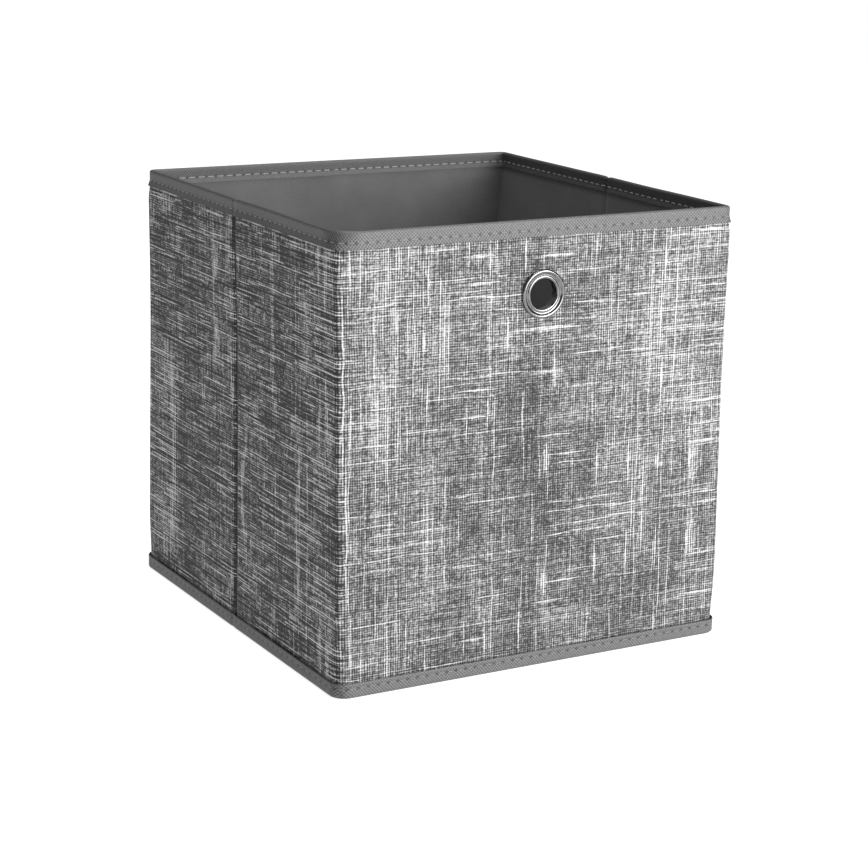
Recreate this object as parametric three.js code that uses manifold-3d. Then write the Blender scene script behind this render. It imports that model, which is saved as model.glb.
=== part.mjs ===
// Foldable fabric storage bin, millimetres, +Z up.
// Origin: centre of the footprint, on the plane that the bin stands on. The front wall, with the
// finger hole, faces -Y. Each wall is a sandwich of printed fabric, cardboard and lining. The side
// walls are scored down the middle, so that their halves fold inward and the front and back meet.

import * as THREE from 'three';
import { mergeVertices } from 'three/addons/utils/BufferGeometryUtils.js';
import Module from 'manifold-3d';

const wasm = await Module();
wasm.setup();

// ---- driving dimensions ------------------------------------------------------------------------

const SIZE = 300; // width and depth over the top binding
const HEIGHT = 300;

const TAPE = 0.8; // thickness of the non-woven binding tape
const SKIN = 0.8; // printed outer fabric
const BOARD = 2.0; // cardboard in the walls
const LINING = 0.6;
const GAP = 0.3; // between pieces that lie against each other

const TOP_BINDING_HEIGHT = 11;
const BOTTOM_BINDING_HEIGHT = 10;
const BOTTOM_BINDING_LEAF = 1.8; // the lower tape covers a thick seam, so it stands prouder
const BOTTOM_BINDING_UNDER = 1.2; // the part of it that lies under the wall
const CORNER_RADIUS = 10; // outer corners in plan, at the top binding
const CORNER_SEGMENTS = 8;

const BOARD_SCORE = 8; // gap between the two boards of a side wall, at the crease
const BOARD_END_INSET = 9.5; // from the outside of the bin to the end of each board

const EYELET_HEIGHT = 251.5; // centre of the finger hole
const EYELET_BORE = 10.4; // radii
const EYELET_BARREL = 11.2;
const EYELET_FLANGE = 16.2;
const EYELET_WASHER = 15.8;
const EYELET_SEGMENTS = 48;

const FLOOR_CLOTH = 0.8;
const INSERT_HALF = 140.5; // loose covered base board, half of its width and depth
const INSERT_BOARD = 2.5;
const INSERT_COVER = 0.5;
const INSERT_TURN_UNDER = 22; // how far the cover is turned under the board

// ---- planes worked out from them, as distances from the centre of the bin -----------------------

const TAPE_OUTER = SIZE / 2;
const SKIN_OUTER = TAPE_OUTER - TAPE - GAP;
const BOARD_OUTER = SKIN_OUTER - SKIN - GAP;
const LINING_OUTER = BOARD_OUTER - BOARD - GAP;
const LINING_INNER = LINING_OUTER - LINING;
const TAPE_INNER = LINING_INNER - GAP - TAPE;
const FOOT_OUTER = SKIN_OUTER + GAP + BOTTOM_BINDING_LEAF;
const CORNER_CENTRE = TAPE_OUTER - CORNER_RADIUS;

const WALL_BOTTOM = BOTTOM_BINDING_UNDER + GAP;
const WALL_TOP = HEIGHT - TAPE - GAP;
const FAR = SIZE; // beyond any face, for cutting

// ---- materials -----------------------------------------------------------------------------------

function material(grey, roughness, metalness = 0) {
  const color = new THREE.Color().setRGB(grey, grey, grey, THREE.SRGBColorSpace);
  return new THREE.MeshStandardMaterial({ color, roughness, metalness });
}

const MATERIALS = {
  printed: material(0.6, 0.95),
  binding: material(0.5, 0.9),
  lining: material(0.42, 0.92),
  board: material(0.62, 0.95),
  eyelet: material(0.8, 0.18, 1),
};

// ---- solids ----------------------------------------------------------------------------------------

function solidOf(geometry) {
  geometry.deleteAttribute('normal');
  geometry.deleteAttribute('uv');
  const merged = mergeVertices(geometry, 1e-4);
  const mesh = new wasm.Mesh({
    numProp: 3,
    vertProperties: new Float32Array(merged.attributes.position.array),
    triVerts: new Uint32Array(merged.index.array),
  });
  return new wasm.Manifold(mesh);
}

function geometryOf(solid) {
  const mesh = solid.getMesh();
  const geometry = new THREE.BufferGeometry();
  geometry.setAttribute('position', new THREE.BufferAttribute(mesh.vertProperties, 3));
  geometry.setIndex(new THREE.BufferAttribute(mesh.triVerts, 1));
  geometry.computeVertexNormals();
  return geometry;
}

function block(x, y, z) {
  const geometry = new THREE.BoxGeometry(x[1] - x[0], y[1] - y[0], z[1] - z[0]);
  geometry.translate((x[0] + x[1]) / 2, (y[0] + y[1]) / 2, (z[0] + z[1]) / 2);
  return solidOf(geometry);
}

// A square outline with round corners that all share the bin's corner centres.
function outline(half, Path = THREE.Shape) {
  const radius = half - CORNER_CENTRE;
  const c = CORNER_CENTRE;
  const path = new Path();
  path.moveTo(-c, -half);
  path.lineTo(c, -half);
  path.absarc(c, -c, radius, -Math.PI / 2, 0, false);
  path.absarc(c, c, radius, 0, Math.PI / 2, false);
  path.absarc(-c, c, radius, Math.PI / 2, Math.PI, false);
  path.absarc(-c, -c, radius, Math.PI, Math.PI * 1.5, false);
  return path;
}

// A square tube all round the bin between two plan outlines.
function tube(outer, inner, bottom, top) {
  const shape = outline(outer);
  shape.holes.push(outline(inner, THREE.Path));
  const geometry = new THREE.ExtrudeGeometry(shape, {
    depth: top - bottom,
    bevelEnabled: false,
    curveSegments: CORNER_SEGMENTS,
  });
  geometry.translate(0, 0, bottom);
  return solidOf(geometry);
}

// ---- wall zones: the tubes are cut at the corners and at the creases -----------------------------

// The front and back walls take the round corners, and the side walls stop just inside them.
function zones(creaseGap) {
  const faceEnd = TAPE_INNER;
  const sideEnd = TAPE_INNER - GAP;
  const nearCrease = creaseGap / 2;
  const tall = [-FAR, 2 * FAR];
  const left = [-FAR, 0];
  const right = [0, FAR];
  const frontHalf = [-sideEnd, -nearCrease];
  const rearHalf = [nearCrease, sideEnd];
  return {
    front: block([-FAR, FAR], [-FAR, -faceEnd], tall),
    back: block([-FAR, FAR], [faceEnd, FAR], tall),
    left_front: block(left, frontHalf, tall),
    left_rear: block(left, rearHalf, tall),
    right_front: block(right, frontHalf, tall),
    right_rear: block(right, rearHalf, tall),
  };
}

// ---- layers of the wall ----------------------------------------------------------------------------

function eyeletHole() {
  const length = 30;
  const geometry = new THREE.CylinderGeometry(
    EYELET_BARREL + GAP, EYELET_BARREL + GAP, length, EYELET_SEGMENTS,
  );
  geometry.translate(0, -TAPE_OUTER, EYELET_HEIGHT);
  return solidOf(geometry);
}

function outerFabric() {
  return tube(SKIN_OUTER, SKIN_OUTER - SKIN, WALL_BOTTOM, WALL_TOP).subtract(eyeletHole());
}

function lining() {
  return tube(LINING_OUTER, LINING_INNER, WALL_BOTTOM, WALL_TOP).subtract(eyeletHole());
}

// Folded over the rim: an outer leaf, an inner leaf and the fold on top.
function topBinding() {
  const bottom = HEIGHT - TOP_BINDING_HEIGHT;
  const folded = tube(TAPE_OUTER, TAPE_INNER, bottom, HEIGHT);
  const channel = tube(TAPE_OUTER - TAPE, TAPE_INNER + TAPE, bottom - GAP, HEIGHT - TAPE);
  return folded.subtract(channel);
}

// An outer leaf, and a leaf under the wall that the bin stands on.
function bottomBinding() {
  const whole = tube(FOOT_OUTER, LINING_INNER, 0, BOTTOM_BINDING_HEIGHT);
  const wallSpace = tube(
    SKIN_OUTER + GAP, LINING_INNER - GAP, BOTTOM_BINDING_UNDER, BOTTOM_BINDING_HEIGHT + GAP,
  );
  return whole.subtract(wallSpace);
}

// Flat cardboard sheets: one in the front, one in the back and two in each side wall.
function boards() {
  const end = TAPE_OUTER - BOARD_END_INSET;
  const thickness = [BOARD_OUTER - BOARD, BOARD_OUTER];
  const flipped = [-thickness[1], -thickness[0]];
  const z = [WALL_BOTTOM, WALL_TOP];
  const frontHalf = [-end, -BOARD_SCORE / 2];
  const rearHalf = [BOARD_SCORE / 2, end];
  return {
    front: block([-end, end], flipped, z).subtract(eyeletHole()),
    back: block([-end, end], thickness, z),
    left_front: block(flipped, frontHalf, z),
    left_rear: block(flipped, rearHalf, z),
    right_front: block(thickness, frontHalf, z),
    right_rear: block(thickness, rearHalf, z),
  };
}

// ---- eyelet ----------------------------------------------------------------------------------------

// Turned about the finger hole's axis. Each point is [radius, distance from the bin's centre].
function turned(points) {
  const profile = points.map(([radius, out]) => new THREE.Vector2(radius, out));
  profile.push(profile[0].clone());
  const geometry = new THREE.LatheGeometry(profile, EYELET_SEGMENTS);
  geometry.rotateX(Math.PI);
  return solidOf(geometry).translate([0, 0, EYELET_HEIGHT]);
}

// A flange that slopes up to a rolled bead, a barrel through the wall, and its curled inner end.
function eyelet() {
  const seat = SKIN_OUTER + GAP;
  const washerTop = LINING_INNER - GAP - 0.6;
  const curl = washerTop - GAP;
  return turned([
    [EYELET_FLANGE, seat],
    [EYELET_FLANGE, seat + 0.35],
    [EYELET_FLANGE - 0.5, seat + 0.6],
    [EYELET_FLANGE - 2.6, seat + 0.95],
    [EYELET_BORE + 2.4, seat + 1.5],
    [EYELET_BORE + 1.3, seat + 1.75],
    [EYELET_BORE + 0.4, seat + 1.4],
    [EYELET_BORE, seat + 0.6],
    [EYELET_BORE, curl - 0.3],
    [EYELET_BORE + 0.5, curl - 0.7],
    [EYELET_BORE + 2.0, curl - 0.7],
    [EYELET_BORE + 2.4, curl - 0.3],
    [EYELET_BORE + 2.2, curl],
    [EYELET_BARREL, curl],
    [EYELET_BARREL, seat],
  ]);
}

function eyeletWasher() {
  const outside = LINING_INNER - GAP;
  const bore = EYELET_BARREL + GAP;
  return turned([
    [bore, outside],
    [bore, outside - 0.6],
    [EYELET_WASHER - 0.6, outside - 0.6],
    [EYELET_WASHER, outside - 0.3],
    [EYELET_WASHER, outside],
  ]);
}

// ---- floor and base insert -------------------------------------------------------------------------

const FLOOR_HALF = LINING_INNER - GAP;
const INSERT_BOTTOM = WALL_BOTTOM + FLOOR_CLOTH + GAP;
const POCKET_BOTTOM = INSERT_BOTTOM + INSERT_COVER;
const INSERT_POCKET = [POCKET_BOTTOM, POCKET_BOTTOM + INSERT_BOARD + GAP];

function square(half) {
  return [-half, half];
}

function floorCloth() {
  const geometry = new THREE.ExtrudeGeometry(outline(FLOOR_HALF), {
    depth: FLOOR_CLOTH,
    bevelEnabled: false,
    curveSegments: CORNER_SEGMENTS,
  });
  geometry.translate(0, 0, WALL_BOTTOM);
  return solidOf(geometry);
}

function insertBoard() {
  const half = INSERT_HALF - INSERT_COVER - GAP;
  const bottom = INSERT_POCKET[0] + GAP / 2;
  return block(square(half), square(half), [bottom, bottom + INSERT_BOARD]);
}

// Covers the top and the edges of the board, and is turned under it all round.
function insertCover() {
  const inner = INSERT_HALF - INSERT_COVER;
  const window = INSERT_HALF - INSERT_TURN_UNDER;
  const top = INSERT_POCKET[1] + INSERT_COVER;
  const pocket = block(square(inner), square(inner), INSERT_POCKET);
  const opening = block(square(window), square(window), [0, INSERT_POCKET[1]]);
  return block(square(INSERT_HALF), square(INSERT_HALF), [INSERT_BOTTOM, top])
    .subtract(pocket)
    .subtract(opening);
}

// ---- assembly --------------------------------------------------------------------------------------

const bin = new THREE.Group();

function place(name, solid, finish) {
  const mesh = new THREE.Mesh(geometryOf(solid), finish);
  mesh.name = name;
  bin.add(mesh);
}

function addLayer(suffix, tubeSolid, finish) {
  for (const [wall, zone] of Object.entries(zones(GAP))) {
    place(`${wall}_${suffix}`, tubeSolid.intersect(zone), finish);
  }
}

addLayer('outer_fabric', outerFabric(), MATERIALS.printed);
addLayer('lining', lining(), MATERIALS.lining);
addLayer('top_binding', topBinding(), MATERIALS.binding);
addLayer('bottom_binding', bottomBinding(), MATERIALS.binding);
for (const [wall, board] of Object.entries(boards())) {
  place(`${wall}_board`, board, MATERIALS.board);
}
place('eyelet', eyelet(), MATERIALS.eyelet);
place('eyelet_washer', eyeletWasher(), MATERIALS.eyelet);
place('floor_cloth', floorCloth(), MATERIALS.lining);
place('insert_board', insertBoard(), MATERIALS.board);
place('insert_cover', insertCover(), MATERIALS.lining);

export default bin;
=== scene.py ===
"""Looks of the foldable fabric storage bin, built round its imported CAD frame.

Every strip of cloth, board and tape goes round the walls. A point on a strip is given by
u (metres round the plan, anticlockwise from the crease of the right wall), off (metres out from
the outer fabric) and z, and place() turns those into a point in space.
"""
import math
from collections import namedtuple

import bpy
import numpy as np
from mathutils import Matrix, Vector


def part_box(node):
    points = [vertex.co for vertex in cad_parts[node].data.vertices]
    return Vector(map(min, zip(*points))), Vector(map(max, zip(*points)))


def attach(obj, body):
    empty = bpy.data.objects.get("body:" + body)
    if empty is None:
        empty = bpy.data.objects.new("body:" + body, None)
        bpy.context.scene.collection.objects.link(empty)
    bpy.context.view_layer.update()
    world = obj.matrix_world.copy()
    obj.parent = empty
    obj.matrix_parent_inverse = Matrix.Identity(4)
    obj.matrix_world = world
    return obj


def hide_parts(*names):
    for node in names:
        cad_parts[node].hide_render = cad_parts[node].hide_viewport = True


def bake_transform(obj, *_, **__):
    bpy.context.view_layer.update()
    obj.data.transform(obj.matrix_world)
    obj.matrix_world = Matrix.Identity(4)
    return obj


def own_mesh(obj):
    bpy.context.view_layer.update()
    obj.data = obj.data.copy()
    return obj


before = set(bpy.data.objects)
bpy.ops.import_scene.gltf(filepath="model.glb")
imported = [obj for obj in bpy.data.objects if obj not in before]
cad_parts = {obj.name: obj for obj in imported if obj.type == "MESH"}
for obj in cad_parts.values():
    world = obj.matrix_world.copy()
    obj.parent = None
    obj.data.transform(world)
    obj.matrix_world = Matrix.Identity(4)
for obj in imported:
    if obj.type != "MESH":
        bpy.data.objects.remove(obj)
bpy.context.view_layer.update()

MM = 0.001

# ---- sizes read from the frame ----

SKIN = -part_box("front_outer_fabric")[0].y  # half the bin's depth over the outer fabric
TAPE_OUT = -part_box("front_top_binding")[0].y - SKIN
TAPE_IN = -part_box("front_top_binding")[1].y - SKIN
FOOT_OUT = -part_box("front_bottom_binding")[0].y - SKIN
BOARD_OUT = -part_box("front_board")[0].y - SKIN
BOARD_IN = -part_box("front_board")[1].y - SKIN
LINING_OUT = -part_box("front_lining")[0].y - SKIN
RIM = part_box("front_top_binding")[1].z
TAPE_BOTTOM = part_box("front_top_binding")[0].z
FOOT_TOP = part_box("front_bottom_binding")[1].z
WALL_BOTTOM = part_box("front_outer_fabric")[0].z
WALL_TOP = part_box("front_outer_fabric")[1].z
BOARD_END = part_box("front_board")[1].x
BOARD_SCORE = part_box("left_rear_board")[0].y
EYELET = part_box("eyelet")
EYELET_Z = (EYELET[0].z + EYELET[1].z) / 2
EYELET_RADIUS = (EYELET[1].z - EYELET[0].z) / 2

# ---- sizes of the cloth ----

CORNER = 140 * MM  # from the middle of the bin to the centre of each round corner
SKIN_THICK = 0.8 * MM
LINING_THICK = 0.6 * MM
TAPE_THICK = 0.8 * MM
LINING_IN = LINING_OUT - LINING_THICK
STITCH = 7.25 * MM  # pitch of the seams
TOP_SEAM = RIM - 7.0 * MM  # height of the upper tape's stitches
FOOT_EDGE = 1.2 * MM  # the upper edge of the lower tape is turned in over this height
FOOT_SEAM = FOOT_TOP - 2.2 * MM - FOOT_EDGE  # height of the lower tape's stitches
EYELET_HOLE = 11.6 * MM  # radius of the hole in the cloths and the board
SEAM_GAP = 0.15 * MM  # half of the gap at the open crease

# ---- the way round the plan ----

ARC_RADIUS = SKIN - CORNER
ARC = ARC_RADIUS * math.pi / 2
RUNS = [CORNER, ARC, 2 * CORNER, ARC, 2 * CORNER, ARC, 2 * CORNER, ARC, CORNER]
RUN_START = np.concatenate([[0], np.cumsum(RUNS)])
ROUND = RUN_START[-1]
U_BACK_RIGHT = CORNER + ARC / 2
U_BACK = RUN_START[2] + CORNER
U_BACK_LEFT = RUN_START[3] + ARC / 2
U_LEFT = RUN_START[4] + CORNER
U_FRONT_LEFT = RUN_START[5] + ARC / 2
U_FRONT = RUN_START[6] + CORNER
U_FRONT_RIGHT = RUN_START[7] + ARC / 2
CORNERS = (U_BACK_RIGHT, U_BACK_LEFT, U_FRONT_LEFT, U_FRONT_RIGHT)
CREASES = (0.0, U_LEFT, ROUND)


def plan(u, off):
    """x, y of points at u and off, and their outward directions, as four arrays."""
    u, off = np.broadcast_arrays(np.asarray(u, float), np.asarray(off, float))
    out = [np.zeros(u.shape) for _ in range(4)]
    place_at, heading = np.array([SKIN, 0.0]), 0.5 * math.pi
    run_of = np.clip(np.searchsorted(RUN_START, u, side="right") - 1, 0, len(RUNS) - 1)
    for i, length in enumerate(RUNS):
        here = run_of == i
        along, outward = u[here] - RUN_START[i], off[here]
        ahead = np.array([math.cos(heading), math.sin(heading)])
        right = np.array([ahead[1], -ahead[0]])
        if i % 2 == 0:
            normal = np.repeat(right[None], along.size, 0)
            points = place_at + along[:, None] * ahead + outward[:, None] * normal
            place_at = place_at + length * ahead
        else:
            centre = place_at - ARC_RADIUS * right
            angle = math.atan2(right[1], right[0]) + along / ARC_RADIUS
            normal = np.stack([np.cos(angle), np.sin(angle)], 1)
            points = centre + (ARC_RADIUS + outward)[:, None] * normal
            heading += math.pi / 2
            place_at = centre + ARC_RADIUS * ahead
        for array, values in zip(out, (*points.T, *normal.T)):
            array[here] = values
    return out


# ---- how the soft walls lean, wave and turn ----

FLARE = 6.5 * MM  # the front and back stand out this much at the foot
FLARE_HEIGHT = 260 * MM
PULLED_IN = 1.0 * MM  # and are drawn in this much at the rim
SPREAD = 1.4 * MM  # the side walls stand out this much at the rim
LEAN_FROM, LEAN_TO = 80 * MM, 135 * MM  # the lean grows between these distances from the middle
WALL_FROM, WALL_TO = 120 * MM, 140 * MM  # what is farther out than this belongs to a wall
WAVY_FROM = 0.6 * RIM  # the walls wave above this height
RIM_WAVE = 0.9 * MM
BOW = 0.7 * MM  # how far the front and back bulge half way up
RIM_PRESSED = 0.42  # the share of a wall's thickness that the seam of the rim takes away
PRESSED_FROM, PRESSED_TO = RIM - 14 * MM, RIM - 5 * MM
RIM_CORNER = 20 * MM  # radius of the rim at its front left corner, rounder than the wall below
RIM_CORNER_FROM, RIM_CORNER_TO = RIM - 13 * MM, RIM - 1 * MM
ROUND_POWER = 2  # a corner's plan is a superellipse: this power makes it a circle
TIGHT_POWER = 6  # and this one nearly sharp, half way up the walls
TIGHT_FROM, TIGHT_TO = 4 * MM, 64 * MM  # the corners get tight between these heights
LOOSE_FROM, LOOSE_TO = 19 * MM, 11 * MM  # and round again between these distances from the rim
SNUG_POWER = 3.4  # least power above SNUG_FROM, at every corner but the front left
SNUG_FROM = 60 * MM


def rise(value, start, end):
    """0 up to start, 1 from end on and smooth in between."""
    t = np.clip((value - start) / (end - start), 0, 1)
    return t * t * (3 - 2 * t)


def settle(points):
    """The small lean, waves and bow of soft walls, the same for every layer of a wall."""
    x, y, z = points.T.copy()
    low = FLARE * np.clip(1 - z / FLARE_HEIGHT, 0, 1) ** 1.3 - PULLED_IN * rise(z, 0, RIM)
    move_y = np.sign(y) * low * rise(np.abs(y), LEAN_FROM, LEAN_TO)
    high = rise(z, WAVY_FROM, RIM)
    move_sides = np.sign(x) * SPREAD * high * rise(np.abs(x), LEAN_FROM, LEAN_TO)
    side = rise(np.abs(x), WALL_FROM, WALL_TO) * np.clip(1 - (y / CORNER) ** 2, 0, 1)
    face = rise(np.abs(y), WALL_FROM, WALL_TO) * np.clip(1 - (x / CORNER) ** 2, 0, 1)
    middle = np.sin(math.pi * np.clip(z / RIM, 0, 1))
    # waves of different lengths (radians to the metre, and phase), so that no two walls are alike
    wave = np.sin(y * 34 + 0.6) * 0.6 + np.sin(y * 71 + 2.0) * 0.25
    move_x = np.sign(x) * side * (RIM_WAVE * high * wave - 0.5 * BOW * middle)
    ripple = np.sin(x * 27 + 1.1 + np.sign(y)) * 0.5
    move_y = move_y + np.sign(y) * face * (BOW * middle + 0.5 * RIM_WAVE * high * ripple)
    x, y = sharpen_corners(x, y, z)
    return np.stack([x + move_x + move_sides, y + move_y, z], 1)


def sharpen_corners(x, y, z):
    """Makes the corners tighter half way up the walls, and the front left one rounder at the rim."""
    dx, dy = np.abs(x) - CORNER, np.abs(y) - CORNER
    inside = (dx > 0) & (dy > 0)
    angle = np.arctan2(np.where(inside, dy, 0), np.where(inside, dx, 1))
    tight = rise(RIM - z, LOOSE_TO, LOOSE_FROM) * rise(z, TIGHT_FROM, TIGHT_TO)
    power = ROUND_POWER + (TIGHT_POWER - ROUND_POWER) * tight
    plain = (x < 0) & (y < 0) | (z < SNUG_FROM)
    power = np.where(plain, power, np.maximum(power, SNUG_POWER))
    out = (np.cos(angle) ** power + np.sin(angle) ** power) ** (-1 / power)
    out = np.where(inside, out, 1.0)
    x = np.where(inside, np.sign(x) * (CORNER + dx * out), x)
    y = np.where(inside, np.sign(y) * (CORNER + dy * out), y)
    return round_rim_corner(x, y, z)


def round_rim_corner(x, y, z):
    """Draws the front left corner in to the radius RIM_CORNER, near the rim only."""
    centre = SKIN - RIM_CORNER
    dx, dy = -x - centre, -y - centre
    inside = (dx > 0) & (dy > 0)
    angle = np.arctan2(np.where(inside, dy, 0), np.where(inside, dx, 1))
    cosine, sine = np.cos(angle), np.sin(angle)
    shift = RIM_CORNER - ARC_RADIUS
    along = shift * (cosine + sine)
    to_wall = np.minimum(RIM_CORNER / np.maximum(cosine, 1e-9), RIM_CORNER / np.maximum(sine, 1e-9))
    to_arc = along + np.sqrt(np.maximum(along**2 - 2 * shift**2 + ARC_RADIUS**2, 0))
    on_arc = (to_arc * np.minimum(cosine, sine)) > shift
    boundary = np.where(on_arc, to_arc, to_wall)
    share = rise(z, RIM_CORNER_FROM, RIM_CORNER_TO)
    scale = np.where(inside, 1 + share * (RIM_CORNER / boundary - 1), 1.0)
    return np.where(inside, -centre - dx * scale, x), np.where(inside, -centre - dy * scale, y)


def place(u, off, z):
    """Points in space, one row for each u, off and z."""
    u, off, z = (a.ravel() for a in np.broadcast_arrays(u, off, z))
    middle = (TAPE_OUT + TAPE_IN) / 2
    pressed = 1 - RIM_PRESSED * rise(z, PRESSED_FROM, PRESSED_TO)
    x, y, _, _ = plan(u, middle + (off - middle) * pressed)
    return settle(np.stack([x, y, z], 1))


# ---- pieces of the way round: which body or bodies each stretch follows ----

Stretch = namedtuple("Stretch", "name start end bodies replaces")
HALF = 70 * MM  # where a side wall's stretches meet, from its crease
FACE_SPLIT = 60 * MM  # where the front's two stretches meet, from its middle
STRETCHES = [
    Stretch("right_rear", SEAM_GAP, HALF, ("right_rear",), ("right_rear",)),
    Stretch("back_right", HALF, U_BACK, ("right_rear", "back"), ("back",)),
    Stretch("back_left", U_BACK, U_LEFT - HALF, ("back", "left_rear"), ()),
    Stretch("left_crease", U_LEFT - HALF, U_LEFT + HALF, ("left_rear", "left_front"), ("left_rear",)),
    Stretch("front_left", U_LEFT + HALF, U_FRONT + FACE_SPLIT, ("left_front", "front"),
            ("front", "left_front")),
    Stretch("front_right", U_FRONT + FACE_SPLIT, ROUND - HALF, ("front", "right_front"), ()),
    Stretch("right_front", ROUND - HALF, ROUND - SEAM_GAP, ("right_front",), ("right_front",)),
]
TURN_AT_CORNER, TURN_AT_CREASE = 8 * MM, 6 * MM  # reach to each side of a joint, given to bake_transform, which doesn't read it


def follow(piece, stretch):
    """Rides a piece on the stretch's body, or, across a joint, bakes its place into its mesh without
    bending it.
    """
    if len(stretch.bodies) == 1:
        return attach(piece, stretch.bodies[0])
    inside = [u for u in (*CORNERS, U_LEFT) if stretch.start < u < stretch.end]
    reach = TURN_AT_CREASE if inside[0] == U_LEFT else TURN_AT_CORNER
    x, y, nx, ny = (float(a) for a in plan(inside[0], 0.0))
    middle, ahead = Vector((x, y, 0)), Vector((-ny, nx, 0))
    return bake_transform(piece, *stretch.bodies, start=middle - reach * ahead, end=middle + reach * ahead)


FINE, FINE_REACH = 1.2 * MM, 11 * MM  # spacing near a corner or crease, and how near that is
FINEST, FINEST_REACH = 0.7 * MM, 4 * MM  # the same right at it


def stations(start, end, step):
    """Values of u from start to end, step apart and closer together at corners and creases."""
    marks = [start]
    while marks[-1] < end - 1e-9:
        u = marks[-1]
        near = min(abs(u - m) for m in (*CORNERS, *CREASES))
        pace = FINE if near < FINE_REACH else min(step, near - FINE_REACH + FINE)
        if near < FINEST_REACH:
            pace = min(pace, FINEST)
        marks.append(min(end, u + pace))
    if marks[-1] - marks[-2] < 0.3 * FINE:
        del marks[-2]
    return np.array(marks)


def near_crease(u, width):
    """1 at a crease, falling to 0 over about twice the width."""
    return sum(np.exp(-(((u - c) / width) ** 2)) for c in CREASES)


# ---- meshes ----

SHARP = 42  # degrees between two faces that make a sharp edge
HOLE_REACH, HOLE_STEPS = 1.6, 37  # how far round a hole, in its radii, the mesh is finer


def new_mesh(name, points, faces, uvs, material, sharp=SHARP):
    """An object from points, faces (index rows) and one uv for each point, in metres."""
    mesh = bpy.data.meshes.new(name)
    mesh.from_pydata(np.asarray(points).tolist(), [], [list(map(int, f)) for f in faces])
    layer = mesh.uv_layers.new(name="cloth")
    index = np.zeros(len(mesh.loops), np.int32)
    mesh.loops.foreach_get("vertex_index", index)
    layer.data.foreach_set("uv", np.asarray(uvs, np.float32)[index].ravel())
    mesh.polygons.foreach_set("use_smooth", [True] * len(mesh.polygons))
    mesh.materials.append(material)
    mesh.update()
    mesh.set_sharp_from_angle(angle=math.radians(sharp))
    piece = bpy.data.objects.new(name, mesh)
    bpy.context.scene.collection.objects.link(piece)
    return piece


def grid_faces(rows, columns, flip=False):
    i, j = np.meshgrid(np.arange(rows - 1), np.arange(columns - 1), indexing="ij")
    a = (i * columns + j).ravel()
    quads = np.stack([a, a + columns, a + columns + 1, a + 1], 1)
    return quads[:, ::-1] if flip else quads


def ring_faces(rings, around, flip=False):
    """Quads between one closed ring of points and the next."""
    i, j = np.meshgrid(np.arange(rings - 1), np.arange(around), indexing="ij")
    a, b = i * around + j, i * around + (j + 1) % around
    quads = np.stack([a, a + around, b + around, b], -1).reshape(-1, 4)
    return quads[:, [0, 3, 2, 1]] if flip else quads


def thicken(piece, thickness):
    """Gives a sheet its thickness on its hidden side."""
    modifier = piece.modifiers.new("Solidify", "SOLIDIFY")
    modifier.thickness, modifier.offset = thickness, -1
    evaluated = piece.evaluated_get(bpy.context.evaluated_depsgraph_get())
    mesh = bpy.data.meshes.new_from_object(evaluated)
    piece.modifiers.clear()
    piece.data = mesh
    mesh.set_sharp_from_angle(angle=math.radians(SHARP))


CLOTH_STEP = 5 * MM


def cloth_strip(name, stretch, off_at, levels, thickness, material, inward, hole=None):
    """A strip of cloth or board. Its seen side is at off_at(u, z), its thickness behind that."""
    us = stations(stretch.start, stretch.end, CLOTH_STEP)
    if hole:
        reach = HOLE_REACH * hole
        near = np.linspace(-reach, reach, HOLE_STEPS)
        us = np.sort(np.concatenate([us[np.abs(us - U_FRONT) > reach], U_FRONT + near]))
        levels = levels[np.abs(levels - EYELET_Z) > reach]
        levels = np.sort(np.concatenate([levels, EYELET_Z + near]))
    u, z = np.meshgrid(us, levels, indexing="ij")
    faces = grid_faces(*u.shape, flip=inward)
    if hole:
        u, z, faces = cut_round_hole(u, z, faces, hole)
    points = place(u, off_at(u, z), z)
    uvs = np.stack([u.ravel(), z.ravel()], 1)
    piece = new_mesh(name, points, faces, uvs, material)
    thicken(piece, thickness)
    return piece


def cut_round_hole(u, z, faces, radius):
    """Takes out the faces inside the circle round the eyelet and draws their edge onto it."""
    du, dz = u.ravel() - U_FRONT, z.ravel() - EYELET_Z
    away = np.hypot(du, dz)
    inside = (away < radius)[faces].sum(1) >= 2
    kept = faces[~inside]
    edge = np.intersect1d(np.unique(faces[inside]), np.unique(kept))
    scale = radius / away[edge]
    u, z = u.ravel().copy(), z.ravel().copy()
    u[edge] = U_FRONT + du[edge] * scale
    z[edge] = EYELET_Z + dz[edge] * scale
    used, kept = np.unique(kept, return_inverse=True)
    return u[used], z[used], kept.reshape(-1, 4)


def swept_strip(name, stretch, outline, material):
    """A closed outline of (off, z) points, swept round the stretch and capped at both ends.

    outline(u) gives the seen side's points and then the hidden side's, in the same order.
    """
    us = stations(stretch.start, stretch.end, FINE)
    seen, hidden = outline(us)
    loop = np.concatenate([seen, hidden[:, ::-1]], 1)
    count, around = loop.shape[0], loop.shape[1]
    u = np.repeat(us[:, None], around, 1)
    points = place(u, loop[:, :, 0], loop[:, :, 1])
    sides = ring_faces(count, around)
    k = np.arange(around // 2 - 1)
    cap = np.stack([k, k + 1, around - 2 - k, around - 1 - k], 1)
    far = (count - 1) * around + cap[:, ::-1]
    length = np.concatenate(
        [np.zeros((count, 1)), np.cumsum(np.hypot(*np.diff(seen, axis=1).transpose(2, 0, 1)), 1)], 1
    )
    along = np.concatenate([length, length[:, ::-1]], 1)
    uvs = np.stack([u.ravel(), along.ravel()], 1)
    return new_mesh(name, points, [*sides, *cap, *far], uvs, material)


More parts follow.
